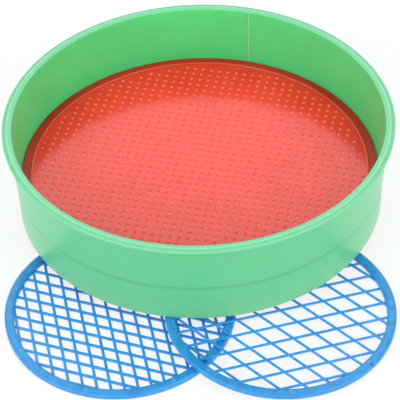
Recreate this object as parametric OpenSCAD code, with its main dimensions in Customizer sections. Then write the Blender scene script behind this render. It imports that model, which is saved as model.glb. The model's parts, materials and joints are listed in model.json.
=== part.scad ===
// Sand sieve: a moulded ring with a fine drop-in screen, set down on its two loose diamond grids

/* [Ring] */
// Diameter over the lip
ring_d = 230; // [180:1:300]
// Height from the bottom edge to the lip's top
ring_h = 57; // [48:1:80]
// Width of the lip, from the mouth to its rounded edge
lip_w = 5.6; // [4.5:0.1:9]
// Thickness of the lip
lip_t = 2.6; // [2:0.1:4]
// Thickness of the wall
wall = 2.6; // [2:0.1:4]
// Depth of the screen below the lip's top
seat_depth = 36; // [20:1:38]
// How far the upper wall leans in between the lip and the ledge
wall_lean = 2.8; // [1:0.1:5]
// How far the skirt leans in between the ledge and the bottom edge
skirt_lean = 0.2; // [0:0.1:2]
// How far the outside of the skirt stands back below the wall
skirt_step = 0.4; // [0.2:0.1:0.8]
// Depth of that step below the lip's top
step_depth = 33; // [20:1:36]
// Width of the ledge that carries the screen
ledge_w = 3.4; // [2:0.1:4]
// Thickness of the ledge
ledge_t = 2.2; // [1.5:0.1:4]

/* [Fine screen] */
// Thickness of the screen's rim
screen_t = 1.2; // [1:0.1:3]
// Thickness of the perforated field
field_t = 1.5; // [1:0.1:1.8]
// Width of the plain rim
screen_rim_w = 6.6; // [5:0.1:12]
// Width of the ridge between the rim and the field
ridge_w = 1.2; // [0.8:0.1:2]
// Height of the ridge above the rim
ridge_h = 0.9; // [0.7:0.1:1.5]
// Spacing of the holes
hole_pitch = 5.25; // [4.5:0.05:9]
// Diameter of the holes
hole_d = 1.8; // [1.2:0.1:3]
// Turn of the rows of holes
hole_turn = -14; // [-45:1:45]
// Diameter of the gate mark in the middle
gate_d = 3.4; // [2:0.1:4]
// Height of the gate mark above the field
gate_h = 0.4; // [0.2:0.1:0.8]

/* [Loose grids] */
// Diameter of each grid
grid_d = 132; // [120:1:150]
// Thickness of each grid's rim
grid_t = 3.2; // [2.4:0.1:5]
// Width of the rim
grid_rim_w = 5.4; // [4:0.1:9]
// Radius on the rim's edges
grid_edge_r = 1.1; // [0.4:0.1:1.2]
// Thickness of the bars
bar_t = 1.2; // [1:0.1:2.4]
// Angle at which the bars cross
bar_crossing = 60; // [50:1:90]
// Spacing of the medium grid's bars
medium_pitch = 7.4; // [6:0.1:12]
// Width of the medium grid's bars
medium_bar_w = 1.6; // [1.2:0.1:2.4]
// Spacing of the coarse grid's bars
coarse_pitch = 11.2; // [9:0.1:16]
// Width of the coarse grid's bars
coarse_bar_w = 1.3; // [1.1:0.1:2.4]
// Diameter of the ejector marks on the rim
mark_d = 3; // [2:0.1:3.6]
// Depth of the ejector marks
mark_depth = 0.2; // [0.1:0.1:0.4]
// Width of the notch in the coarse grid's rim
notch_w = 1; // [0.6:0.1:2]
// Depth of the notch, from the outside
notch_depth = 2.4; // [1:0.1:3]

/* [Arrangement] */
// How far the medium grid's centre lies left of the ring's centre
medium_offset = 48; // [40:1:60]
// How far the coarse grid's centre lies right of the ring's centre
coarse_offset = 43; // [35:1:60]
// How far the medium grid's centre lies in front of the ring's centre
medium_reach = 93; // [80:1:110]
// How far the coarse grid's centre lies in front of the ring's centre
coarse_reach = 99; // [80:1:110]

/* [Fit] */
// Gap round the screen in its seat
seat_gap = 0.4; // [0.2:0.1:1]
// Gap left where one loose piece lies on another
lie_gap = 0.3; // [0.1:0.1:0.6]

/* [Hidden] */
$fn = 96;
// Overrun of every cut
over = 1;
ring_green = "#66ce93";
screen_red = "#e0523f";
grid_blue = "#3e95e2";

// Ring, measured from its own bottom edge
lip_r = ring_d / 2;
mouth_r = lip_r - lip_w;
ledge_top = ring_h - seat_depth - screen_t;
seat_r = mouth_r - wall_lean;
foot_r = seat_r - skirt_lean;
foot_out_r = foot_r + wall - skirt_step;
step_z = ring_h - step_depth;
step_r = seat_r + wall + wall_lean * (step_z - ledge_top) / (ring_h - ledge_top);

// Fine screen, measured from its underside
screen_r = seat_r - seat_gap;
field_r = screen_r - screen_rim_w;
hole_count = ceil(field_r / hole_pitch);
// The screen's centre lies in the middle of four holes
cell_middle = [0.5, 0.5];
hole_places = [
    for (column = [-hole_count:hole_count])
        for (row = [-hole_count:hole_count])
            let (place = ([column, row] + cell_middle) * hole_pitch)
                if (norm(place) < field_r - hole_d)
                    place
];

// Loose grids: the coarse one leans from the table up onto the medium one
grid_r = grid_d / 2;
grid_spread = medium_offset + coarse_offset;
medium_turn = -20;
coarse_turn = 16;
mark_count = 8;
medium_mark_turn = 28;
coarse_mark_turn = 3;
notch_turn = -42;
coarse_lean = atan((grid_t + lie_gap) / grid_spread);
coarse_lift = grid_r * sin(coarse_lean);
coarse_left = coarse_offset - grid_r;
coarse_top = 2 * coarse_lift + grid_t * cos(coarse_lean);

// The ring stands on the table at the back and lies on the coarse grid at the front
prop_y = sqrt(foot_r * foot_r - coarse_left * coarse_left);
ring_pitch = asin((coarse_top + lie_gap) / (prop_y + foot_out_r));
ring_lift = foot_out_r * sin(ring_pitch);
// Middle of the whole arrangement from front to back
lip_edge_r = lip_t / 2;
back_y = (lip_r - lip_edge_r) * cos(ring_pitch) + (ring_h - lip_edge_r) * sin(ring_pitch) + lip_edge_r;
front_y = -max(medium_reach, coarse_reach) - grid_r;
middle_y = (back_y + front_y) / 2;

// Places the ring and what sits in it on the table
module in_ring() {
    translate([0, -middle_y, ring_lift])
        rotate([-ring_pitch, 0, 0])
            children();
}

// Section of the leaning wall and of the skirt below it, with the step outside
module wall_section() {
    polygon([
        [foot_r, 0],
        [foot_out_r, 0],
        [step_r - skirt_step, step_z],
        [step_r, step_z],
        [mouth_r + wall, ring_h],
        [mouth_r, ring_h],
        [seat_r, ledge_top]
    ]);
}

// Green ring with lip, wall, ledge and skirt
module sieve_frame() {
    color(ring_green)
        in_ring()
            rotate_extrude()
                union() {
                    wall_section();
                    translate([seat_r - ledge_w, ledge_top - ledge_t])
                        square([ledge_w + wall / 2, ledge_t]);
                    translate([mouth_r, ring_h - lip_t])
                        square([lip_w - lip_edge_r, lip_t]);
                    translate([lip_r - lip_edge_r, ring_h - lip_edge_r])
                        circle(lip_edge_r);
                }
}

// Rows of round holes that lie whole inside the field
module hole_field() {
    rotate(hole_turn)
        for (place = hole_places)
            translate(place)
                circle(d = hole_d, $fn = 24);
}

// Red perforated screen on the ring's ledge, with a ridge inside its rim and a gate mark in the middle
module fine_screen() {
    color(screen_red)
        in_ring()
            translate([0, 0, ledge_top]) {
                linear_extrude(field_t)
                    difference() {
                        circle(field_r + ridge_w / 2);
                        hole_field();
                    }
                cylinder(d = gate_d, h = field_t + gate_h);
                rotate_extrude() {
                    translate([field_r, 0])
                        square([screen_rim_w, screen_t]);
                    translate([field_r, 0])
                        square([ridge_w, screen_t + ridge_h]);
                }
            }
}

// Two sets of parallel bars that cross at the mesh angle
module diamond_bars(pitch, bar_w, turn) {
    count = ceil(grid_r / pitch);
    for (set = [0, 1])
        rotate(turn - set * bar_crossing)
            for (line = [-count:count])
                translate([-grid_r, line * pitch - bar_w / 2])
                    square([grid_d, bar_w]);
}

// Section of a grid's rim, with both upper edges rounded
module rim_section() {
    inner_r = grid_r - grid_rim_w;
    translate([inner_r, 0])
        square([grid_rim_w, grid_t - grid_edge_r]);
    translate([inner_r + grid_edge_r, 0])
        square([grid_rim_w - 2 * grid_edge_r, grid_t]);
    for (edge = [inner_r + grid_edge_r, grid_r - grid_edge_r])
        translate([edge, grid_t - grid_edge_r])
            circle(grid_edge_r);
}

// Round grid: a rim with ejector marks and a diamond mesh flush with its underside
module round_grid(pitch, bar_w, turn, mark_turn) {
    linear_extrude(bar_t)
        intersection() {
            circle(grid_r - grid_rim_w / 2);
            diamond_bars(pitch, bar_w, turn);
        }
    difference() {
        rotate_extrude()
            rim_section();
        for (mark = [1:mark_count])
            rotate(mark_turn + mark * 360 / mark_count)
                translate([grid_r - grid_rim_w / 2, 0, grid_t - mark_depth])
                    cylinder(d = mark_d, h = mark_depth + over);
        children();
    }
}

// Blue grid with the closer mesh, flat on the table at the left
module medium_grid() {
    color(grid_blue)
        translate([-medium_offset, -medium_reach - middle_y, 0])
            round_grid(medium_pitch, medium_bar_w, medium_turn, medium_mark_turn);
}

// Blue grid with the wider mesh and a notch in its rim, leaning on the medium one at the right
module coarse_grid() {
    color(grid_blue)
        translate([coarse_offset, -coarse_reach - middle_y, coarse_lift])
            rotate([0, coarse_lean, 0])
                round_grid(coarse_pitch, coarse_bar_w, coarse_turn, coarse_mark_turn)
                    rotate(notch_turn)
                        translate([grid_r - notch_depth, -notch_w / 2, -over])
                            cube([notch_depth + over, notch_w, grid_t + 2 * over]);
}

sieve_frame();
fine_screen();
medium_grid();
coarse_grid();
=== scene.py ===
import json
from math import acos, asin, atan, ceil, cos, pi, radians, sin, tan, tau
import bmesh
import bpy
from mathutils import Matrix, Vector


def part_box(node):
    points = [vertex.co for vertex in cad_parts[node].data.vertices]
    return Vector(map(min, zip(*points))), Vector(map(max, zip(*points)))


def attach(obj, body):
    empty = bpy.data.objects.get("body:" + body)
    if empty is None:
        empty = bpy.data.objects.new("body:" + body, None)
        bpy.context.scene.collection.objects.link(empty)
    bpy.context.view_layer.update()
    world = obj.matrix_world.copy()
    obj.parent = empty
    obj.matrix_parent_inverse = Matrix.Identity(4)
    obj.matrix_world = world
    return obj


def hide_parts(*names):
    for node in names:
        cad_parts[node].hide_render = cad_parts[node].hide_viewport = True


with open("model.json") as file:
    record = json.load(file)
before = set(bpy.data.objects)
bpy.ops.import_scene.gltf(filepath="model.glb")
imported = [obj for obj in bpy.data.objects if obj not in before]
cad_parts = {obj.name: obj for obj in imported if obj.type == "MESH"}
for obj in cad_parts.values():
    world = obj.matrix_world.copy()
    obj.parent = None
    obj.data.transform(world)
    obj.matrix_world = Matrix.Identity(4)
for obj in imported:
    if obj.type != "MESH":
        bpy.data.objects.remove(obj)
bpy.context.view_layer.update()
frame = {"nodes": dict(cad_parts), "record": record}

mm = 0.001
sharpAngle = radians(40)  # an edge that bends more than this stays crisp
straightCorner = radians(89.9)  # half of a corner that is as good as straight
print("frame loaded:", ", ".join(frame["nodes"]))


def linear(hexCode):  # sRGB hex to the linear colour that shaders take
    channels = [int(hexCode[i:i + 2], 16) / 255 for i in (1, 3, 5)]
    return tuple(c / 12.92 if c <= 0.04045 else ((c + 0.055) / 1.055) ** 2.4 for c in channels) + (1,)


def addNode(tree, kind, inputs=None, links=None, **settings):  # a node with its values and links
    node = tree.nodes.new(kind)
    for name, value in settings.items():
        setattr(node, name, value)
    for key, value in (inputs or {}).items():
        node.inputs[key].default_value = value
    for key, socket in (links or {}).items():
        tree.links.new(socket, node.inputs[key])
    return node


# where the ring stands: its axis and the middle of its mouth come from the lip's mount
lipMount = next(m for m in frame["record"]["mounts"] if m["name"] == "lip_face")
ringPitch = asin(lipMount["axis"][1])
mouthCentre = Vector((0, lipMount["pos_m"][1], lipMount["pos_m"][2]))
ringPlace = Matrix.Translation(mouthCentre) @ Matrix.Rotation(-ringPitch, 4, "X")


def roundedSection(corners, steps=5):  # corners as (radius, height, fillet), in order round the section
    points = []
    for i, (r, z, fillet) in enumerate(corners):
        here = Vector((r, z))
        before = (Vector(corners[i - 1][:2]) - here).normalized()
        after = (Vector(corners[(i + 1) % len(corners)][:2]) - here).normalized()
        half = acos(max(-1, min(1, before.dot(after)))) / 2
        if fillet == 0 or half > straightCorner:
            points.append((r, z))
            continue
        centre = here + (before + after).normalized() * (fillet / sin(half))
        start = here + before * (fillet / tan(half)) - centre
        end = here + after * (fillet / tan(half)) - centre
        sweep = start.angle_signed(end)
        for k in range(steps + 1):
            spoke = start.copy()
            spoke.rotate(Matrix.Rotation(-sweep * k / steps, 2))
            points.append(tuple(centre + spoke))
    return points


def turnedMesh(name, section, steps):  # one closed section turned about Z
    bm = bmesh.new()
    rings = []
    for step in range(steps):
        turn = tau * step / steps
        rings.append([bm.verts.new((r * cos(turn), r * sin(turn), z)) for r, z in section])
    for ring, after in zip(rings, rings[1:] + rings[:1]):
        for k in range(len(section)):
            bm.faces.new((ring[k - 1], after[k - 1], after[k], ring[k]))
    bmesh.ops.recalc_face_normals(bm, faces=bm.faces)
    mesh = bpy.data.meshes.new(name)
    bm.to_mesh(mesh)
    bm.free()
    return mesh


def newPiece(mesh, place, body, node):  # puts a finished mesh in its place on its body
    mesh.transform(place)
    mesh.shade_smooth()
    mesh.set_sharp_from_angle(angle=sharpAngle)
    piece = bpy.data.objects.new(mesh.name, mesh)
    bpy.context.scene.collection.objects.link(piece)
    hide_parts(node)
    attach(piece, body)


def newTree(name, sizes):  # a node group with named inputs, each with its kind
    tree = bpy.data.node_groups.new(name, "GeometryNodeTree")
    tree.interface.new_socket("Geometry", in_out="INPUT", socket_type="NodeSocketGeometry")
    tree.interface.new_socket("Geometry", in_out="OUTPUT", socket_type="NodeSocketGeometry")
    for key, value in sizes.items():
        kind = "NodeSocketInt" if isinstance(value, int) else "NodeSocketFloat"
        tree.interface.new_socket(key, in_out="INPUT", socket_type=kind)
    for key in ("Finish", "Wall Finish"):
        tree.interface.new_socket(key, in_out="INPUT", socket_type="NodeSocketMaterial")
    return tree


def runTree(mesh, tree, sizes, finishes):  # evaluates a tree on a mesh and gives back a plain mesh
    worker = bpy.data.objects.new(mesh.name, mesh)
    bpy.context.scene.collection.objects.link(worker)
    modifier = worker.modifiers.new(tree.name, "NODES")
    modifier.node_group = tree
    values = {**sizes, **finishes}
    for item in tree.interface.items_tree:
        if item.in_out == "INPUT" and item.name in values:
            modifier[item.identifier] = values[item.name]
    ready = worker.evaluated_get(bpy.context.evaluated_depsgraph_get())
    made = bpy.data.meshes.new_from_object(ready)
    name = mesh.name
    bpy.data.objects.remove(worker)
    bpy.data.meshes.remove(mesh)
    made.name = name
    return made


# close up, every piece has a mottle from the flow of the plastic and a fine satin grain
surface = {
    "flowDetail": 3.0, "flowSpan": (0.32, 0.62), "sheenSpan": (0.88, 1.12),
    "grainMm": 0.7, "grainDetail": 2.0, "grainDepthMm": 0.03, "grainStrength": 0.25,
}


# moulded polypropylene: solid colour with faint flow mottling, a fine satin grain and a soft sheen
def mouldedPolypropylene(name, tone, flowTone, roughness, ior, glow, flowMm=38):
    material = bpy.data.materials.new(name)
    material.use_nodes = True
    tree = material.node_tree
    shader = tree.nodes["Principled BSDF"]
    # a glow given as 'through' is painted light: an emission that stands for daylight coming through thin
    # plastic
    settings = {
        "IOR": ior, "Subsurface Weight": glow["share"], "Subsurface Radius": glow["spread"],
        "Subsurface Scale": glow["depthMm"] * mm,
        "Emission Color": linear(tone), "Emission Strength": glow.get("through", 0.0),
    }
    for key, value in settings.items():
        shader.inputs[key].default_value = value
    place = addNode(tree, "ShaderNodeTexCoord").outputs["Object"]
    flow = addNode(tree, "ShaderNodeTexNoise", {"Scale": 1 / (flowMm * mm), "Detail": surface["flowDetail"]},
                   {"Vector": place})
    ramp = addNode(tree, "ShaderNodeValToRGB", links={"Fac": flow.outputs["Fac"]})
    for stop, spot, colour in zip(ramp.color_ramp.elements, surface["flowSpan"], (flowTone, tone)):
        stop.position = spot
        stop.color = linear(colour)
    tree.links.new(ramp.outputs["Color"], shader.inputs["Base Color"])
    smooth, rough = surface["sheenSpan"]
    rub = addNode(tree, "ShaderNodeMapRange", {"To Min": roughness * smooth, "To Max": roughness * rough},
                  {"Value": flow.outputs["Fac"]})
    tree.links.new(rub.outputs["Result"], shader.inputs["Roughness"])
    grain = addNode(tree, "ShaderNodeTexNoise",
                    {"Scale": 1 / (surface["grainMm"] * mm), "Detail": surface["grainDetail"]},
                    {"Vector": place})
    bump = addNode(tree, "ShaderNodeBump",
                   {"Strength": surface["grainStrength"], "Distance": surface["grainDepthMm"] * mm},
                   {"Height": grain.outputs["Fac"]})
    tree.links.new(bump.outputs["Normal"], shader.inputs["Normal"])
    return material


far = 500  # in mm, past every edge of the object


def addWindow(tree, value, span, softMm):  # 1 between two heights or radii in mm, with soft ends
    low, high = span
    rise = addNode(tree, "ShaderNodeMapRange",
                   {"From Min": (low - softMm) * mm, "From Max": (low + softMm) * mm},
                   {"Value": value}, interpolation_type="SMOOTHSTEP")
    fall = addNode(tree, "ShaderNodeMapRange",
                   {"From Min": (high - softMm) * mm, "From Max": (high + softMm) * mm,
                    "To Min": 1.0, "To Max": 0.0},
                   {"Value": value}, interpolation_type="SMOOTHSTEP")
    both = addNode(tree, "ShaderNodeMath", links={0: rise.outputs["Result"], 1: fall.outputs["Result"]},
                   operation="MULTIPLY")
    return both.outputs[0]


# a zone of another tone, by height and radius about the ring's axis; lean slants the radius with the wall
def addZone(material, tone, blend, heights=(-far, far), radii=(-far, far), softMm=0.2, lean=0.0):
    tree = material.node_tree
    shader = tree.nodes["Principled BSDF"]
    plain = shader.inputs["Base Color"].links[0].from_socket
    place = addNode(tree, "ShaderNodeTexCoord").outputs["Object"]
    local = addNode(tree, "ShaderNodeMapping", {"Location": mouthCentre, "Rotation": (-ringPitch, 0, 0)},
                    {"Vector": place}, vector_type="TEXTURE")
    height = addNode(tree, "ShaderNodeSeparateXYZ", links={0: local.outputs[0]}).outputs["Z"]
    flat = addNode(tree, "ShaderNodeVectorMath", {1: (1, 1, 0)}, {0: local.outputs[0]}, operation="MULTIPLY")
    reach = addNode(tree, "ShaderNodeVectorMath", links={0: flat.outputs[0]}, operation="LENGTH")
    slant = addNode(tree, "ShaderNodeMath", {1: -lean}, {0: height, 2: reach.outputs["Value"]},
                    operation="MULTIPLY_ADD")
    tall = addWindow(tree, height, heights, softMm)
    wide = addWindow(tree, slant.outputs[0], radii, softMm)
    zone = addNode(tree, "ShaderNodeMath", links={0: tall, 1: wide}, operation="MULTIPLY")
    # among the mix's sockets, 6 and 7 are its two colours and 2 is their mix
    mix = addNode(tree, "ShaderNodeMix", {7: linear(tone)}, {"Factor": zone.outputs[0], 6: plain},
                  data_type="RGBA", blend_type=blend)
    tree.links.new(mix.outputs[2], shader.inputs["Base Color"])


# how far light goes into each plastic
greenGlow = {"share": 0.85, "spread": (0.4, 1.0, 0.5), "depthMm": 4.0}
redGlow = {"share": 0.85, "spread": (1.0, 0.35, 0.22), "depthMm": 4.0}
blueGlow = {"share": 0.7, "spread": (0.3, 0.7, 1.0), "depthMm": 2.5}

greenPlastic = mouldedPolypropylene(
    "mouldedPolypropyleneMint", "#57d588", "#53cf82", roughness=0.3, ior=1.52, glow=greenGlow)
# painted reflection of the white floor: paler outside, most at the foot;
# painted shade: a soft darker line where the ledge stands behind the wall;
# painted light: the thin lip paler as if lit through, with a painted highlight on its crest
outside = {"radii": (110.9, far), "lean": 0.0753}  # the outer half of the leaning wall
# painted reflection of the white floor on the outer wall, stronger towards the foot
addZone(greenPlastic, "#66c68d", "MIX", **outside)
addZone(greenPlastic, "#79ca96", "MIX", heights=(-80, -48), softMm=10, **outside)
# painted shade: a soft darker band where the ledge stands behind the wall
addZone(greenPlastic, "#eceeec", "MULTIPLY", heights=(-35, -32), softMm=1.5, **outside)
# painted light on the thin lip, and a painted highlight along its crest
addZone(greenPlastic, "#75c799", "MIX", heights=(-3.2, far), radii=(109.7, far), softMm=0.4)
addZone(greenPlastic, "#94dab3", "MIX", heights=(-0.05, far), softMm=0.04)
redPlastic = mouldedPolypropylene(
    "mouldedPolypropyleneRed", "#ea3a27", "#e13523", roughness=0.16, ior=1.48, glow=redGlow)
# painted shade: darker on the rim, recessed where it lies on the ledge; painted highlight: paler on the crest
# of the ridge
addZone(redPlastic, "#d4a899", "MULTIPLY", radii=(100.9, far))
# painted highlight along the crest of the ridge
addZone(redPlastic, "#ee5c4a", "MIX", heights=(-35.25, far), radii=(90, far), softMm=0.1)
# hole walls: painted light, paler and with a faint glow, standing for daylight through the thin plastic
holeWallPaintedLightRed = mouldedPolypropylene(
    "mouldedPolypropyleneRedHoleWallPaintedLight", "#ff745c", "#fb6c54", roughness=0.3, ior=1.48,
    glow={**redGlow, "through": 0.15})
# the fine edge of the seam, glossier than the wall; paler partly as thin whitish flash
# and partly as a painted highlight, the glint along the seam
seamPaintedGlintPlastic = mouldedPolypropylene(
    "mouldedPolypropyleneMintSeamPaintedGlint", "#a5ecb9", "#9ae6b0", roughness=0.25, ior=1.6,
    glow={**greenGlow, "share": 0.4, "depthMm": 1.0})
bluePlastic = mouldedPolypropylene(
    "mouldedPolypropyleneBlue", "#3099da", "#2b8cce", roughness=0.32, ior=1.5, glow=blueGlow, flowMm=5)
# the pale rounds that ejector pins leave on the grids' rims
pinMarkPlastic = mouldedPolypropylene(
    "mouldedPolypropyleneBluePinMark", "#4ba9e4", "#459fdb", roughness=0.4, ior=1.5,
    glow={**blueGlow, "depthMm": 1.0})
print("materials ready")

# green ring: lip, leaning wall, ledge and skirt, with z = 0 at the lip's top
ring = {
    "lipRadius": 115 * mm, "lipWidth": 5.6 * mm, "lipThickness": 2.6 * mm, "wall": 2.6 * mm,
    "height": 57 * mm, "seatDepth": 36 * mm, "wallLean": 2.8 * mm, "skirtLean": 0.2 * mm,
    "stepDepth": 33 * mm, "step": 0.4 * mm, "ledgeWidth": 3.4 * mm, "ledgeThickness": 2.2 * mm,
    "edge": 0.6 * mm, "crest": 0.55, "crestDrop": 0.3 * mm, "brinkDrop": 0.45 * mm,
    "steps": 240,
}
# bend is how far a quarter round has come at its middle, and nearHole how many radii a hole's edge reaches;
# wallTilt and level say which faces count as upright and as flat
screen = {
    "rimThickness": 1.2 * mm, "fieldThickness": 1.5 * mm, "rimWidth": 6.6 * mm, "seatGap": 0.4 * mm,
    "ridgeWidth": 1.2 * mm, "ridgeHeight": 0.9 * mm, "holeSpacing": 5.25 * mm, "holeRadius": 0.9 * mm,
    "holeEdge": 0.4 * mm, "turn": radians(-14), "edge": 0.3 * mm, "ridgeEdge": 0.55 * mm,
    "gateRadius": 1.7 * mm, "gateTop": 1.3 * mm, "gateHeight": 0.4 * mm,
    "steps": 240, "edgeSteps": 4, "plateSides": 180, "holeSides": 12, "gateSides": 32,
    "bend": 0.707, "nearHole": 1.6, "wallTilt": 0.8, "level": 0.999, "weld": 0.01 * mm,
}
mouthR = ring["lipRadius"] - ring["lipWidth"]
seatR = mouthR - ring["wallLean"]
footR = seatR - ring["skirtLean"]
ledgeZ = -ring["seatDepth"] - screen["rimThickness"]


def makeRing():
    wall, edge, lip = ring["wall"], ring["edge"], ring["lipRadius"]
    lowZ, stepZ = ledgeZ - ring["ledgeThickness"], -ring["stepDepth"]
    skirtR = footR + ring["skirtLean"] * (lowZ + ring["height"]) / (ledgeZ + ring["height"])

    def outerR(z):  # outside of the leaning wall at a height
        return seatR + wall + ring["wallLean"] * (z - ledgeZ) / -ledgeZ

    corners = [
        (mouthR, -ring["crestDrop"], edge),
        (mouthR + ring["crest"] * ring["lipWidth"], 0, edge * 2),
        (lip, -ring["brinkDrop"], edge),
        (lip, -ring["lipThickness"], edge),
        (outerR(-ring["lipThickness"]), -ring["lipThickness"], edge),
        (outerR(stepZ + ring["step"]), stepZ + ring["step"], ring["step"]),
        (outerR(stepZ) - ring["step"], stepZ - ring["step"], ring["step"]),
        (footR + wall - ring["step"], -ring["height"], edge),
        (footR, -ring["height"], edge),
        (skirtR, lowZ, edge),
        (seatR - ring["ledgeWidth"], lowZ, edge / 2),
        (seatR - ring["ledgeWidth"], ledgeZ, edge / 2),
        (seatR, ledgeZ, 0),
    ]
    mesh = turnedMesh("sieveRing", roundedSection(corners), ring["steps"])
    mesh.materials.append(greenPlastic)
    newPiece(mesh, ringPlace, "frame", "sieve_frame")


# seam of the moulding inside the ring, a fine raised line from the lip to the screen
seam = {"turn": radians(72), "width": 0.55 * mm, "proud": 0.16 * mm, "root": 0.3 * mm, "steps": 6}


def makeSeam():
    high, low = -ring["crestDrop"] - ring["edge"], ledgeZ + screen["rimThickness"] + screen["ridgeHeight"]
    bm = bmesh.new()
    ends = []
    for z in (low, high):
        inner = seatR + ring["wallLean"] * (z - ledgeZ) / -ledgeZ
        points = [(inner + seam["root"], seam["width"] / 2), (inner + seam["root"], -seam["width"] / 2)]
        for k in range(seam["steps"] + 1):
            bend = pi * k / seam["steps"]
            points.append((inner - seam["proud"] * sin(bend), -seam["width"] / 2 * cos(bend)))
        ends.append([bm.verts.new((r, side, z)) for r, side in points])
    count = len(ends[0])
    for k in range(count):
        bm.faces.new((ends[0][k - 1], ends[0][k], ends[1][k], ends[1][k - 1]))
    bm.faces.new(ends[0])
    bm.faces.new(ends[1])
    bmesh.ops.recalc_face_normals(bm, faces=bm.faces)
    mesh = bpy.data.meshes.new("ringSeam")
    bm.to_mesh(mesh)
    bm.free()
    mesh.transform(ringPlace @ Matrix.Rotation(seam["turn"], 4, "Z"))
    mesh.materials.append(seamPaintedGlintPlastic)
    mesh.shade_smooth()
    mesh.set_sharp_from_angle(angle=sharpAngle)
    piece = bpy.data.objects.new(mesh.name, mesh)
    bpy.context.scene.collection.objects.link(piece)
    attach(piece, "frame")


makeRing()
makeSeam()
print("ring made")


# red screen: a plain rim with a raised ridge round a plate full of round holes with soft upper edges
def flareHoles(tree, given, raised, share):  # widens the upper edges of the holes by a share of their edge
    spot = addNode(tree, "GeometryNodeInputPosition")
    back = addNode(tree, "ShaderNodeMath", {1: -1.0}, {0: given["Turn"]}, operation="MULTIPLY")
    straight = addNode(tree, "ShaderNodeVectorRotate",
                       links={"Vector": spot.outputs[0], "Angle": back.outputs[0]}, rotation_type="Z_AXIS")
    pitch = addNode(tree, "ShaderNodeCombineXYZ",
                    links={"X": given["Hole Spacing"], "Y": given["Hole Spacing"]})
    half = addNode(tree, "ShaderNodeVectorMath", {"Scale": 0.5}, {0: pitch.outputs[0]}, operation="SCALE")
    cell = addNode(tree, "ShaderNodeVectorMath", links={0: straight.outputs[0], 1: pitch.outputs[0]},
                   operation="SNAP")
    centre = addNode(tree, "ShaderNodeVectorMath", links={0: cell.outputs[0], 1: half.outputs[0]},
                     operation="ADD")
    spoke = addNode(tree, "ShaderNodeVectorMath", links={0: straight.outputs[0], 1: centre.outputs[0]},
                    operation="SUBTRACT")
    flat = addNode(tree, "ShaderNodeVectorMath", {1: (1, 1, 0)}, {0: spoke.outputs[0]}, operation="MULTIPLY")
    reach = addNode(tree, "ShaderNodeVectorMath", links={0: flat.outputs[0]}, operation="LENGTH")
    limit = addNode(tree, "ShaderNodeMath", {1: screen["nearHole"]}, {0: given["Hole Radius"]},
                    operation="MULTIPLY")
    near = addNode(tree, "FunctionNodeCompare", links={"A": reach.outputs["Value"], "B": limit.outputs[0]},
                   operation="LESS_THAN")
    chosen = addNode(tree, "FunctionNodeBooleanMath", links={0: raised.outputs["Top"], 1: near.outputs[0]},
                     operation="AND")
    way = addNode(tree, "ShaderNodeVectorMath", links={0: flat.outputs[0]}, operation="NORMALIZE")
    step = addNode(tree, "ShaderNodeMath", {1: share}, {0: given["Hole Edge"]}, operation="MULTIPLY")
    push = addNode(tree, "ShaderNodeVectorMath", links={0: way.outputs[0], "Scale": step.outputs[0]},
                   operation="SCALE")
    turned = addNode(tree, "ShaderNodeVectorRotate",
                     links={"Vector": push.outputs[0], "Angle": given["Turn"]}, rotation_type="Z_AXIS")
    return addNode(tree, "GeometryNodeSetPosition", links={
        "Geometry": raised.outputs["Mesh"], "Selection": chosen.outputs[0], "Offset": turned.outputs[0]})


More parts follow.
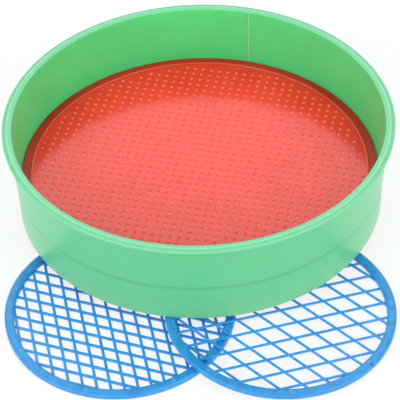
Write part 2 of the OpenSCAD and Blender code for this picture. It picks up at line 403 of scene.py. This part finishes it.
def makeScreenTree(sizes):
    tree = newTree("perforatedPlate", sizes)
    given = addNode(tree, "NodeGroupInput").outputs
    across = addNode(tree, "ShaderNodeMath", {1: 1.0}, {0: given["Holes Across"]}, operation="SUBTRACT")
    side = addNode(tree, "ShaderNodeMath", links={0: across.outputs[0], 1: given["Hole Spacing"]},
                   operation="MULTIPLY")
    lattice = addNode(tree, "GeometryNodeMeshGrid", links={
        "Size X": side.outputs[0], "Size Y": side.outputs[0],
        "Vertices X": given["Holes Across"], "Vertices Y": given["Holes Across"]})
    turn = addNode(tree, "ShaderNodeCombineXYZ", links={"Z": given["Turn"]})
    turned = addNode(tree, "GeometryNodeTransform", links={
        "Geometry": lattice.outputs["Mesh"], "Rotation": turn.outputs[0]})
    spot = addNode(tree, "GeometryNodeInputPosition")
    reach = addNode(tree, "ShaderNodeVectorMath", links={0: spot.outputs[0]}, operation="LENGTH")
    limit = addNode(tree, "ShaderNodeMath", {1: -2.0}, {0: given["Hole Radius"], 2: given["Field Radius"]},
                    operation="MULTIPLY_ADD")
    inside = addNode(tree, "FunctionNodeCompare", links={"A": reach.outputs["Value"], "B": limit.outputs[0]},
                     operation="LESS_THAN")
    hole = addNode(tree, "GeometryNodeCurvePrimitiveCircle", {"Resolution": screen["holeSides"]},
                   {"Radius": given["Hole Radius"]})
    holes = addNode(tree, "GeometryNodeInstanceOnPoints", links={
        "Points": turned.outputs[0], "Selection": inside.outputs[0], "Instance": hole.outputs[0]})
    outline = addNode(tree, "GeometryNodeCurvePrimitiveCircle", {"Resolution": screen["plateSides"]},
                      {"Radius": given["Plate Radius"]})
    curves = addNode(tree, "GeometryNodeRealizeInstances", links={"Geometry": holes.outputs[0]})
    drawing = addNode(tree, "GeometryNodeJoinGeometry", links={"Geometry": curves.outputs[0]})
    tree.links.new(outline.outputs[0], drawing.inputs["Geometry"])
    sheet = addNode(tree, "GeometryNodeFillCurve", links={0: drawing.outputs[0]})
    below = addNode(tree, "ShaderNodeMath", links={0: given["Thickness"], 1: given["Hole Edge"]},
                    operation="SUBTRACT")
    lower = addNode(tree, "GeometryNodeExtrudeMesh", {"Individual": False}, {
        "Mesh": sheet.outputs[0], "Offset Scale": below.outputs[0]})
    stepA = addNode(tree, "ShaderNodeMath", {1: screen["bend"]}, {0: given["Hole Edge"]},
                    operation="MULTIPLY")
    middle = addNode(tree, "GeometryNodeExtrudeMesh", {"Individual": False}, {
        "Mesh": lower.outputs["Mesh"], "Selection": lower.outputs["Top"], "Offset Scale": stepA.outputs[0]})
    opened = flareHoles(tree, given, middle, 1 - screen["bend"])
    stepB = addNode(tree, "ShaderNodeMath", {1: 1 - screen["bend"]}, {0: given["Hole Edge"]},
                    operation="MULTIPLY")
    upper = addNode(tree, "GeometryNodeExtrudeMesh", {"Individual": False}, {
        "Mesh": opened.outputs[0], "Selection": middle.outputs["Top"], "Offset Scale": stepB.outputs[0]})
    flared = flareHoles(tree, given, upper, screen["bend"])
    under = addNode(tree, "GeometryNodeFlipFaces", links={"Mesh": sheet.outputs[0]})
    plate = addNode(tree, "GeometryNodeJoinGeometry", links={"Geometry": flared.outputs[0]})
    tree.links.new(under.outputs[0], plate.inputs["Geometry"])
    closed = addNode(tree, "GeometryNodeMergeByDistance", {"Distance": screen["weld"]},
                     {"Geometry": plate.outputs[0]})
    gate = addNode(tree, "GeometryNodeMeshCone", {"Vertices": screen["gateSides"]},
                   {"Radius Top": given["Gate Top"], "Radius Bottom": given["Gate Radius"],
                    "Depth": given["Gate Height"]})
    sunk = addNode(tree, "ShaderNodeCombineXYZ", links={"Z": given["Gate Foot"]})
    mark = addNode(tree, "GeometryNodeTransform",
                   links={"Geometry": gate.outputs["Mesh"], "Translation": sunk.outputs[0]})
    whole = addNode(tree, "GeometryNodeMeshBoolean", links={"Mesh": closed.outputs[0]}, operation="UNION",
                    solver="MANIFOLD")
    tree.links.new(mark.outputs[0], whole.inputs["Mesh"])
    tree.links.new(given["Geometry"], whole.inputs["Mesh"])
    real = addNode(tree, "GeometryNodeRealizeInstances", links={"Geometry": whole.outputs[0]})
    finish = addNode(tree, "GeometryNodeSetMaterial",
                     links={"Geometry": real.outputs[0], "Material": given["Finish"]})
    facing = addNode(tree, "ShaderNodeSeparateXYZ",
                     links={0: addNode(tree, "GeometryNodeInputNormal").outputs[0]})
    upright = addNode(tree, "FunctionNodeCompare", {"B": 0.0, "Epsilon": screen["wallTilt"]},
                      {"A": facing.outputs["Z"]}, operation="EQUAL")
    beyond = addNode(tree, "FunctionNodeCompare",
                     links={"A": reach.outputs["Value"], "B": given["Gate Radius"]}, operation="GREATER_THAN")
    spread = addNode(tree, "FunctionNodeBooleanMath", links={0: inside.outputs[0], 1: beyond.outputs[0]},
                     operation="AND")
    walls = addNode(tree, "FunctionNodeBooleanMath", links={0: upright.outputs[0], 1: spread.outputs[0]},
                    operation="AND")
    # the upright hole walls take the wall finish, which on the screen is a painted-light tone
    paled = addNode(tree, "GeometryNodeSetMaterial", links={
        "Geometry": finish.outputs[0], "Selection": walls.outputs[0], "Material": given["Wall Finish"]})
    addNode(tree, "NodeGroupOutput", links={"Geometry": paled.outputs[0]})
    return tree


def makeScreen():
    screenR = seatR - screen["seatGap"]
    fieldR = screenR - screen["rimWidth"]
    top, edge = screen["rimThickness"], screen["edge"]
    rim = turnedMesh("fineScreen", roundedSection([
        (fieldR, 0, 0),
        (screenR, 0, edge),
        (screenR, top, edge),
        (fieldR + screen["ridgeWidth"], top, edge),
        (fieldR + screen["ridgeWidth"], top + screen["ridgeHeight"], screen["ridgeEdge"]),
        (fieldR, top + screen["ridgeHeight"], screen["ridgeEdge"]),
    ], screen["edgeSteps"]), screen["steps"])
    sizes = {"Holes Across": 2 * ceil(fieldR / screen["holeSpacing"]), "Hole Spacing": screen["holeSpacing"],
             "Hole Radius": screen["holeRadius"], "Hole Edge": screen["holeEdge"], "Field Radius": fieldR,
             "Plate Radius": fieldR + screen["ridgeWidth"] / 2, "Thickness": screen["fieldThickness"],
             "Turn": screen["turn"], "Gate Radius": screen["gateRadius"], "Gate Top": screen["gateTop"],
             "Gate Height": 2 * screen["gateHeight"],
             "Gate Foot": screen["fieldThickness"] - screen["gateHeight"]}
    mesh = runTree(rim, makeScreenTree(sizes), sizes, {"Finish": redPlastic, "Wall Finish": holeWallPaintedLightRed})
    place = ringPlace @ Matrix.Translation((0, 0, ledgeZ))
    # the plate's faces stay flat between the holes
    flat = [abs(face.normal.z) > screen["level"] for face in mesh.polygons]
    newPiece(mesh, place, "screen", "fine_screen")
    for face, level in zip(mesh.polygons, flat):
        face.use_smooth = not level


makeScreen()
print("screen made")

# blue grids: a rounded rim and two sets of bars that cross at 60 degrees
grid = {
    "thickness": 3.2 * mm, "rimWidth": 5.4 * mm, "topEdge": 1.1 * mm, "lowEdge": 0.3 * mm,
    "barHeight": 1.2 * mm, "barEdge": 0.3 * mm, "crossing": radians(60),
    "markRadius": 1.5 * mm, "markDepth": 0.2 * mm, "lieGap": 0.3 * mm,
    "marks": 8, "markSides": 24, "steps": 160, "barEdgeSteps": 3, "level": 0.99, "sinkMargin": 0.04 * mm,
}
mediumGrid = {"spacing": 7.4 * mm, "barWidth": 1.6 * mm, "turn": radians(-20), "markTurn": radians(28)}
coarseGrid = {"spacing": 11.2 * mm, "barWidth": 1.3 * mm, "turn": radians(16), "markTurn": radians(3),
              "notchTurn": radians(-42), "notchWidth": 1.0 * mm, "notchDepth": 2.4 * mm}


def addBarSet(tree, given, turn):  # parallel bars, each as long as its chord of the rim
    first = addNode(tree, "ShaderNodeMath", links={0: given["Bars Each Way"], 1: given["Bar Spacing"]},
                    operation="MULTIPLY")
    low = addNode(tree, "ShaderNodeMath", {1: -1.0}, {0: first.outputs[0]}, operation="MULTIPLY")
    start = addNode(tree, "ShaderNodeCombineXYZ", links={"Y": low.outputs[0]})
    step = addNode(tree, "ShaderNodeCombineXYZ", links={"Y": given["Bar Spacing"]})
    count = addNode(tree, "ShaderNodeMath", {1: 2.0, 2: 1.0}, {0: given["Bars Each Way"]},
                    operation="MULTIPLY_ADD")
    line = addNode(tree, "GeometryNodeMeshLine", links={
        "Count": count.outputs[0], "Start Location": start.outputs[0], "Offset": step.outputs[0]})
    spot = addNode(tree, "GeometryNodeInputPosition")
    parts = addNode(tree, "ShaderNodeSeparateXYZ", links={0: spot.outputs[0]})
    square = addNode(tree, "ShaderNodeMath", {1: 2.0}, {0: parts.outputs["Y"]}, operation="POWER")
    whole = addNode(tree, "ShaderNodeMath", {1: 2.0}, {0: given["Bar Reach"]}, operation="POWER")
    rest = addNode(tree, "ShaderNodeMath", links={0: whole.outputs[0], 1: square.outputs[0]},
                   operation="SUBTRACT")
    chord = addNode(tree, "ShaderNodeMath", links={0: rest.outputs[0]}, operation="SQRT")
    inside = addNode(tree, "FunctionNodeCompare", {"B": 0.0}, {"A": rest.outputs[0]},
                     operation="GREATER_THAN")
    size = addNode(tree, "ShaderNodeCombineXYZ", {"Y": 1.0, "Z": 1.0}, {"X": chord.outputs[0]})
    section = addNode(tree, "GeometryNodeCurvePrimitiveQuadrilateral", links={
        "Width": given["Bar Width"], "Height": given["Bar Height"]})
    soft = addNode(tree, "GeometryNodeFilletCurve", {"Count": grid["barEdgeSteps"]}, {
        "Curve": section.outputs[0], "Radius": given["Bar Edge"]}, mode="POLY")
    axis = addNode(tree, "GeometryNodeCurvePrimitiveLine", {"Start": (-1, 0, 0), "End": (1, 0, 0)})
    bar = addNode(tree, "GeometryNodeCurveToMesh", {"Fill Caps": True}, {
        "Curve": axis.outputs[0], "Profile Curve": soft.outputs[0]})
    bars = addNode(tree, "GeometryNodeInstanceOnPoints", links={
        "Points": line.outputs[0], "Selection": inside.outputs[0],
        "Instance": bar.outputs[0], "Scale": size.outputs[0]})
    middle = addNode(tree, "ShaderNodeMath", {1: 0.5}, {0: given["Bar Height"]}, operation="MULTIPLY")
    lift = addNode(tree, "ShaderNodeCombineXYZ", links={"Z": middle.outputs[0]})
    spin = addNode(tree, "ShaderNodeCombineXYZ", links={"Z": turn})
    placed = addNode(tree, "GeometryNodeTransform", links={
        "Geometry": bars.outputs[0], "Translation": lift.outputs[0], "Rotation": spin.outputs[0]})
    return addNode(tree, "GeometryNodeRealizeInstances", links={"Geometry": placed.outputs[0]}).outputs[0]


def makeGridTree(sizes):
    tree = newTree("diamondGrid", sizes)
    given = addNode(tree, "NodeGroupInput").outputs
    other = addNode(tree, "ShaderNodeMath", links={0: given["Turn"], 1: given["Crossing"]},
                    operation="SUBTRACT")
    setA = addBarSet(tree, given, given["Turn"])
    setB = addBarSet(tree, given, other.outputs[0])
    union = addNode(tree, "GeometryNodeMeshBoolean", links={"Mesh": given["Geometry"]}, operation="UNION",
                    solver="MANIFOLD")
    tree.links.new(setA, union.inputs["Mesh"])
    tree.links.new(setB, union.inputs["Mesh"])
    circle = addNode(tree, "GeometryNodeMeshCircle", {"Vertices": grid["marks"]},
                     {"Radius": given["Mark Reach"]})
    spin = addNode(tree, "ShaderNodeCombineXYZ", links={"Z": given["Mark Turn"]})
    turned = addNode(tree, "GeometryNodeTransform",
                     links={"Geometry": circle.outputs[0], "Rotation": spin.outputs[0]})
    pin = addNode(tree, "GeometryNodeMeshCylinder", {"Vertices": grid["markSides"]},
                  {"Radius": given["Mark Radius"], "Depth": given["Mark Depth"]})
    pins = addNode(tree, "GeometryNodeInstanceOnPoints",
                   links={"Points": turned.outputs[0], "Instance": pin.outputs["Mesh"]})
    height = addNode(tree, "ShaderNodeCombineXYZ", links={"Z": given["Rim Thickness"]})
    raised = addNode(tree, "GeometryNodeTransform",
                     links={"Geometry": pins.outputs[0], "Translation": height.outputs[0]})
    real = addNode(tree, "GeometryNodeRealizeInstances", links={"Geometry": raised.outputs[0]})
    marked = addNode(tree, "GeometryNodeMeshBoolean",
                     links={"Mesh 1": union.outputs[0], "Mesh 2": real.outputs[0]}, operation="DIFFERENCE",
                     solver="MANIFOLD")
    if "Notch Turn" in sizes:  # a cut right through the rim from outside
        tall = addNode(tree, "ShaderNodeMath", {1: 4.0}, {0: given["Rim Thickness"]}, operation="MULTIPLY")
        deep = addNode(tree, "ShaderNodeMath", {1: 2.0}, {0: given["Notch Depth"]}, operation="MULTIPLY")
        size = addNode(tree, "ShaderNodeCombineXYZ", links={
            "X": deep.outputs[0], "Y": given["Notch Width"], "Z": tall.outputs[0]})
        block = addNode(tree, "GeometryNodeMeshCube", links={"Size": size.outputs[0]})
        out = addNode(tree, "ShaderNodeCombineXYZ", links={"X": given["Notch Reach"]})
        away = addNode(tree, "GeometryNodeTransform",
                       links={"Geometry": block.outputs[0], "Translation": out.outputs[0]})
        spinNotch = addNode(tree, "ShaderNodeCombineXYZ", links={"Z": given["Notch Turn"]})
        cut = addNode(tree, "GeometryNodeTransform",
                      links={"Geometry": away.outputs[0], "Rotation": spinNotch.outputs[0]})
        tree.links.new(cut.outputs[0], marked.inputs["Mesh 2"])
    whole = addNode(tree, "GeometryNodeRealizeInstances", links={"Geometry": marked.outputs[0]})
    finish = addNode(tree, "GeometryNodeSetMaterial",
                     links={"Geometry": whole.outputs[0], "Material": given["Finish"]})
    facing = addNode(tree, "ShaderNodeSeparateXYZ",
                     links={0: addNode(tree, "GeometryNodeInputNormal").outputs[0]})
    level = addNode(tree, "FunctionNodeCompare", {"B": grid["level"]}, {"A": facing.outputs["Z"]},
                    operation="GREATER_THAN")
    spot = addNode(tree, "ShaderNodeSeparateXYZ",
                   links={0: addNode(tree, "GeometryNodeInputPosition").outputs[0]})
    bottom = addNode(tree, "ShaderNodeMath", {1: -0.5}, {0: given["Mark Depth"], 2: given["Rim Thickness"]},
                     operation="MULTIPLY_ADD")
    sunk = addNode(tree, "FunctionNodeCompare", {"Epsilon": grid["sinkMargin"]},
                   {"A": spot.outputs["Z"], "B": bottom.outputs[0]}, operation="EQUAL")
    marks = addNode(tree, "FunctionNodeBooleanMath", links={0: level.outputs[0], 1: sunk.outputs[0]},
                    operation="AND")
    paled = addNode(tree, "GeometryNodeSetMaterial", links={
        "Geometry": finish.outputs[0], "Selection": marks.outputs[0], "Material": given["Wall Finish"]})
    addNode(tree, "NodeGroupOutput", links={"Geometry": paled.outputs[0]})
    return tree


def middleOf(node):  # middle of a node's box at rest
    low, high = (Vector(corner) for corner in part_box(node))
    return (low + high) / 2


mediumMiddle, coarseMiddle = middleOf("medium_grid"), middleOf("coarse_grid")
gridR = (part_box("medium_grid")[1][1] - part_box("medium_grid")[0][1]) / 2
lean = atan((grid["thickness"] + grid["lieGap"]) / (coarseMiddle.x - mediumMiddle.x))


def makeGrid(name, sort, place, body, node):  # rim, bars, marks and notch of one grid
    inner, top, low, high = gridR - grid["rimWidth"], grid["thickness"], grid["lowEdge"], grid["topEdge"]
    rim = turnedMesh(name, roundedSection([
        (inner, 0, low), (gridR, 0, low), (gridR, top, high), (inner, top, high)]), grid["steps"])
    sizes = {
        "Bar Spacing": sort["spacing"], "Bar Width": sort["barWidth"], "Bar Height": grid["barHeight"],
        "Bar Edge": grid["barEdge"], "Bar Reach": gridR - grid["rimWidth"] / 2,
        "Bars Each Way": ceil(gridR / sort["spacing"]), "Turn": sort["turn"], "Crossing": grid["crossing"],
        "Rim Thickness": top, "Mark Reach": gridR - grid["rimWidth"] / 2, "Mark Turn": sort["markTurn"],
        "Mark Radius": grid["markRadius"], "Mark Depth": 2 * grid["markDepth"],
    }
    if "notchTurn" in sort:
        sizes.update({"Notch Turn": sort["notchTurn"], "Notch Width": sort["notchWidth"],
                      "Notch Depth": sort["notchDepth"], "Notch Reach": gridR})
    mesh = runTree(rim, makeGridTree(sizes), sizes, {"Finish": bluePlastic, "Wall Finish": pinMarkPlastic})
    newPiece(mesh, place, body, node)


mediumPlace = Matrix.Translation((mediumMiddle.x, mediumMiddle.y, 0))
makeGrid("mediumGrid", mediumGrid, mediumPlace, "medium", "medium_grid")
coarseFoot = Matrix.Translation((coarseMiddle.x, coarseMiddle.y, gridR * sin(lean)))
makeGrid("coarseGrid", coarseGrid, coarseFoot @ Matrix.Rotation(lean, 4, "Y"), "coarse", "coarse_grid")
print("grids made")

# plain white floor: white to the eye, with a soft shadow;
# it lights the object as unshadowed white card does
stage = {"halfWidth": 3.0, "glow": 0.74, "card": "#f2f2f2", "shadowCard": "#8a8a8a", "drop": 0.4 * mm}


def makeFloor():
    bm = bmesh.new()
    bmesh.ops.create_grid(bm, x_segments=1, y_segments=1, size=stage["halfWidth"])
    mesh = bpy.data.meshes.new("floor")
    bm.to_mesh(mesh)
    bm.free()
    material = bpy.data.materials.new("matteWhiteCard")
    material.use_nodes = True
    tree = material.node_tree
    tree.nodes.clear()
    path = addNode(tree, "ShaderNodeLightPath")
    seen = addNode(tree, "ShaderNodeMath",
                   links={0: path.outputs["Is Camera Ray"], 1: path.outputs["Is Glossy Ray"]},
                   operation="MAXIMUM")
    through = addNode(tree, "ShaderNodeMath",
                      links={0: seen.outputs[0], 1: path.outputs["Is Transmission Ray"]}, operation="MAXIMUM")
    card = addNode(tree, "ShaderNodeEmission", {"Color": linear(stage["card"]), "Strength": 1.0})
    dim = addNode(tree, "ShaderNodeBsdfDiffuse", {"Color": linear(stage["shadowCard"])})
    glow = addNode(tree, "ShaderNodeEmission", {"Color": (1, 1, 1, 1), "Strength": stage["glow"]})
    lit = addNode(tree, "ShaderNodeAddShader", links={0: dim.outputs[0], 1: glow.outputs[0]})
    mix = addNode(tree, "ShaderNodeMixShader",
                  links={0: through.outputs[0], 1: card.outputs[0], 2: lit.outputs[0]})
    addNode(tree, "ShaderNodeOutputMaterial", links={"Surface": mix.outputs[0]})
    mesh.materials.append(material)
    floor = bpy.data.objects.new("floor", mesh)
    floor.location.z = -stage["drop"]
    bpy.context.scene.collection.objects.link(floor)


makeFloor()

# soft studio light: a wide lamp on each side in front, and one behind that the screen mirrors
lamps = {
    "frontLeft": {"place": (-1.35, -1.05, 0.95), "aim": (0, 0, 0.03), "size": 2.0, "power": 26},
    "frontRight": {"place": (1.35, -1.05, 0.95), "aim": (0, 0, 0.03), "size": 2.0, "power": 26},
    "behind": {"place": (0.0, 1.5, 1.35), "aim": (0, 0, 0.02), "size": 1.6, "power": 12},
}
worldLight = {"tone": "#f4f6f8", "strength": 0.5}


def lookRotation(place, aim, roll=0):  # turns a lamp or the camera from its place to its aim
    look = (Vector(aim) - Vector(place)).to_track_quat("-Z", "Y")
    return look.to_matrix().to_4x4() @ Matrix.Rotation(roll, 4, "Z")


for name, lamp in lamps.items():
    light = bpy.data.lights.new(name, "AREA")
    light.shape = "DISK"
    light.size = lamp["size"]
    light.energy = lamp["power"]
    holder = bpy.data.objects.new(name, light)
    holder.matrix_world = Matrix.Translation(lamp["place"]) @ lookRotation(lamp["place"], lamp["aim"])
    bpy.context.scene.collection.objects.link(holder)

world = bpy.data.worlds.new("studio")
world.use_nodes = True
world.node_tree.nodes["Background"].inputs["Color"].default_value = linear(worldLight["tone"])
world.node_tree.nodes["Background"].inputs["Strength"].default_value = worldLight["strength"]
bpy.context.scene.world = world
print("floor and light ready")

# camera at the photograph's angle: a long lens, a little rolled
view = {
    "aim": (-0.0005, -0.0066, 0.0267), "elevation": radians(43.47), "roll": radians(-1.85),
    "distance": 1.15, "lens": 176.9, "sensor": 36, "farClip": 50,
}


def makeCamera():
    camera = bpy.data.cameras.new("camera")
    camera.sensor_width = view["sensor"]
    camera.lens = view["lens"]
    camera.clip_end = view["farClip"]
    away = Vector((0, -cos(view["elevation"]), sin(view["elevation"]))) * view["distance"]
    place = Vector(view["aim"]) + away
    holder = bpy.data.objects.new("camera", camera)
    holder.matrix_world = Matrix.Translation(place) @ lookRotation(place, view["aim"], view["roll"])
    bpy.context.scene.collection.objects.link(holder)
    bpy.context.scene.camera = holder


makeCamera()
bpy.context.scene.view_settings.view_transform = "Standard"
print("camera ready")
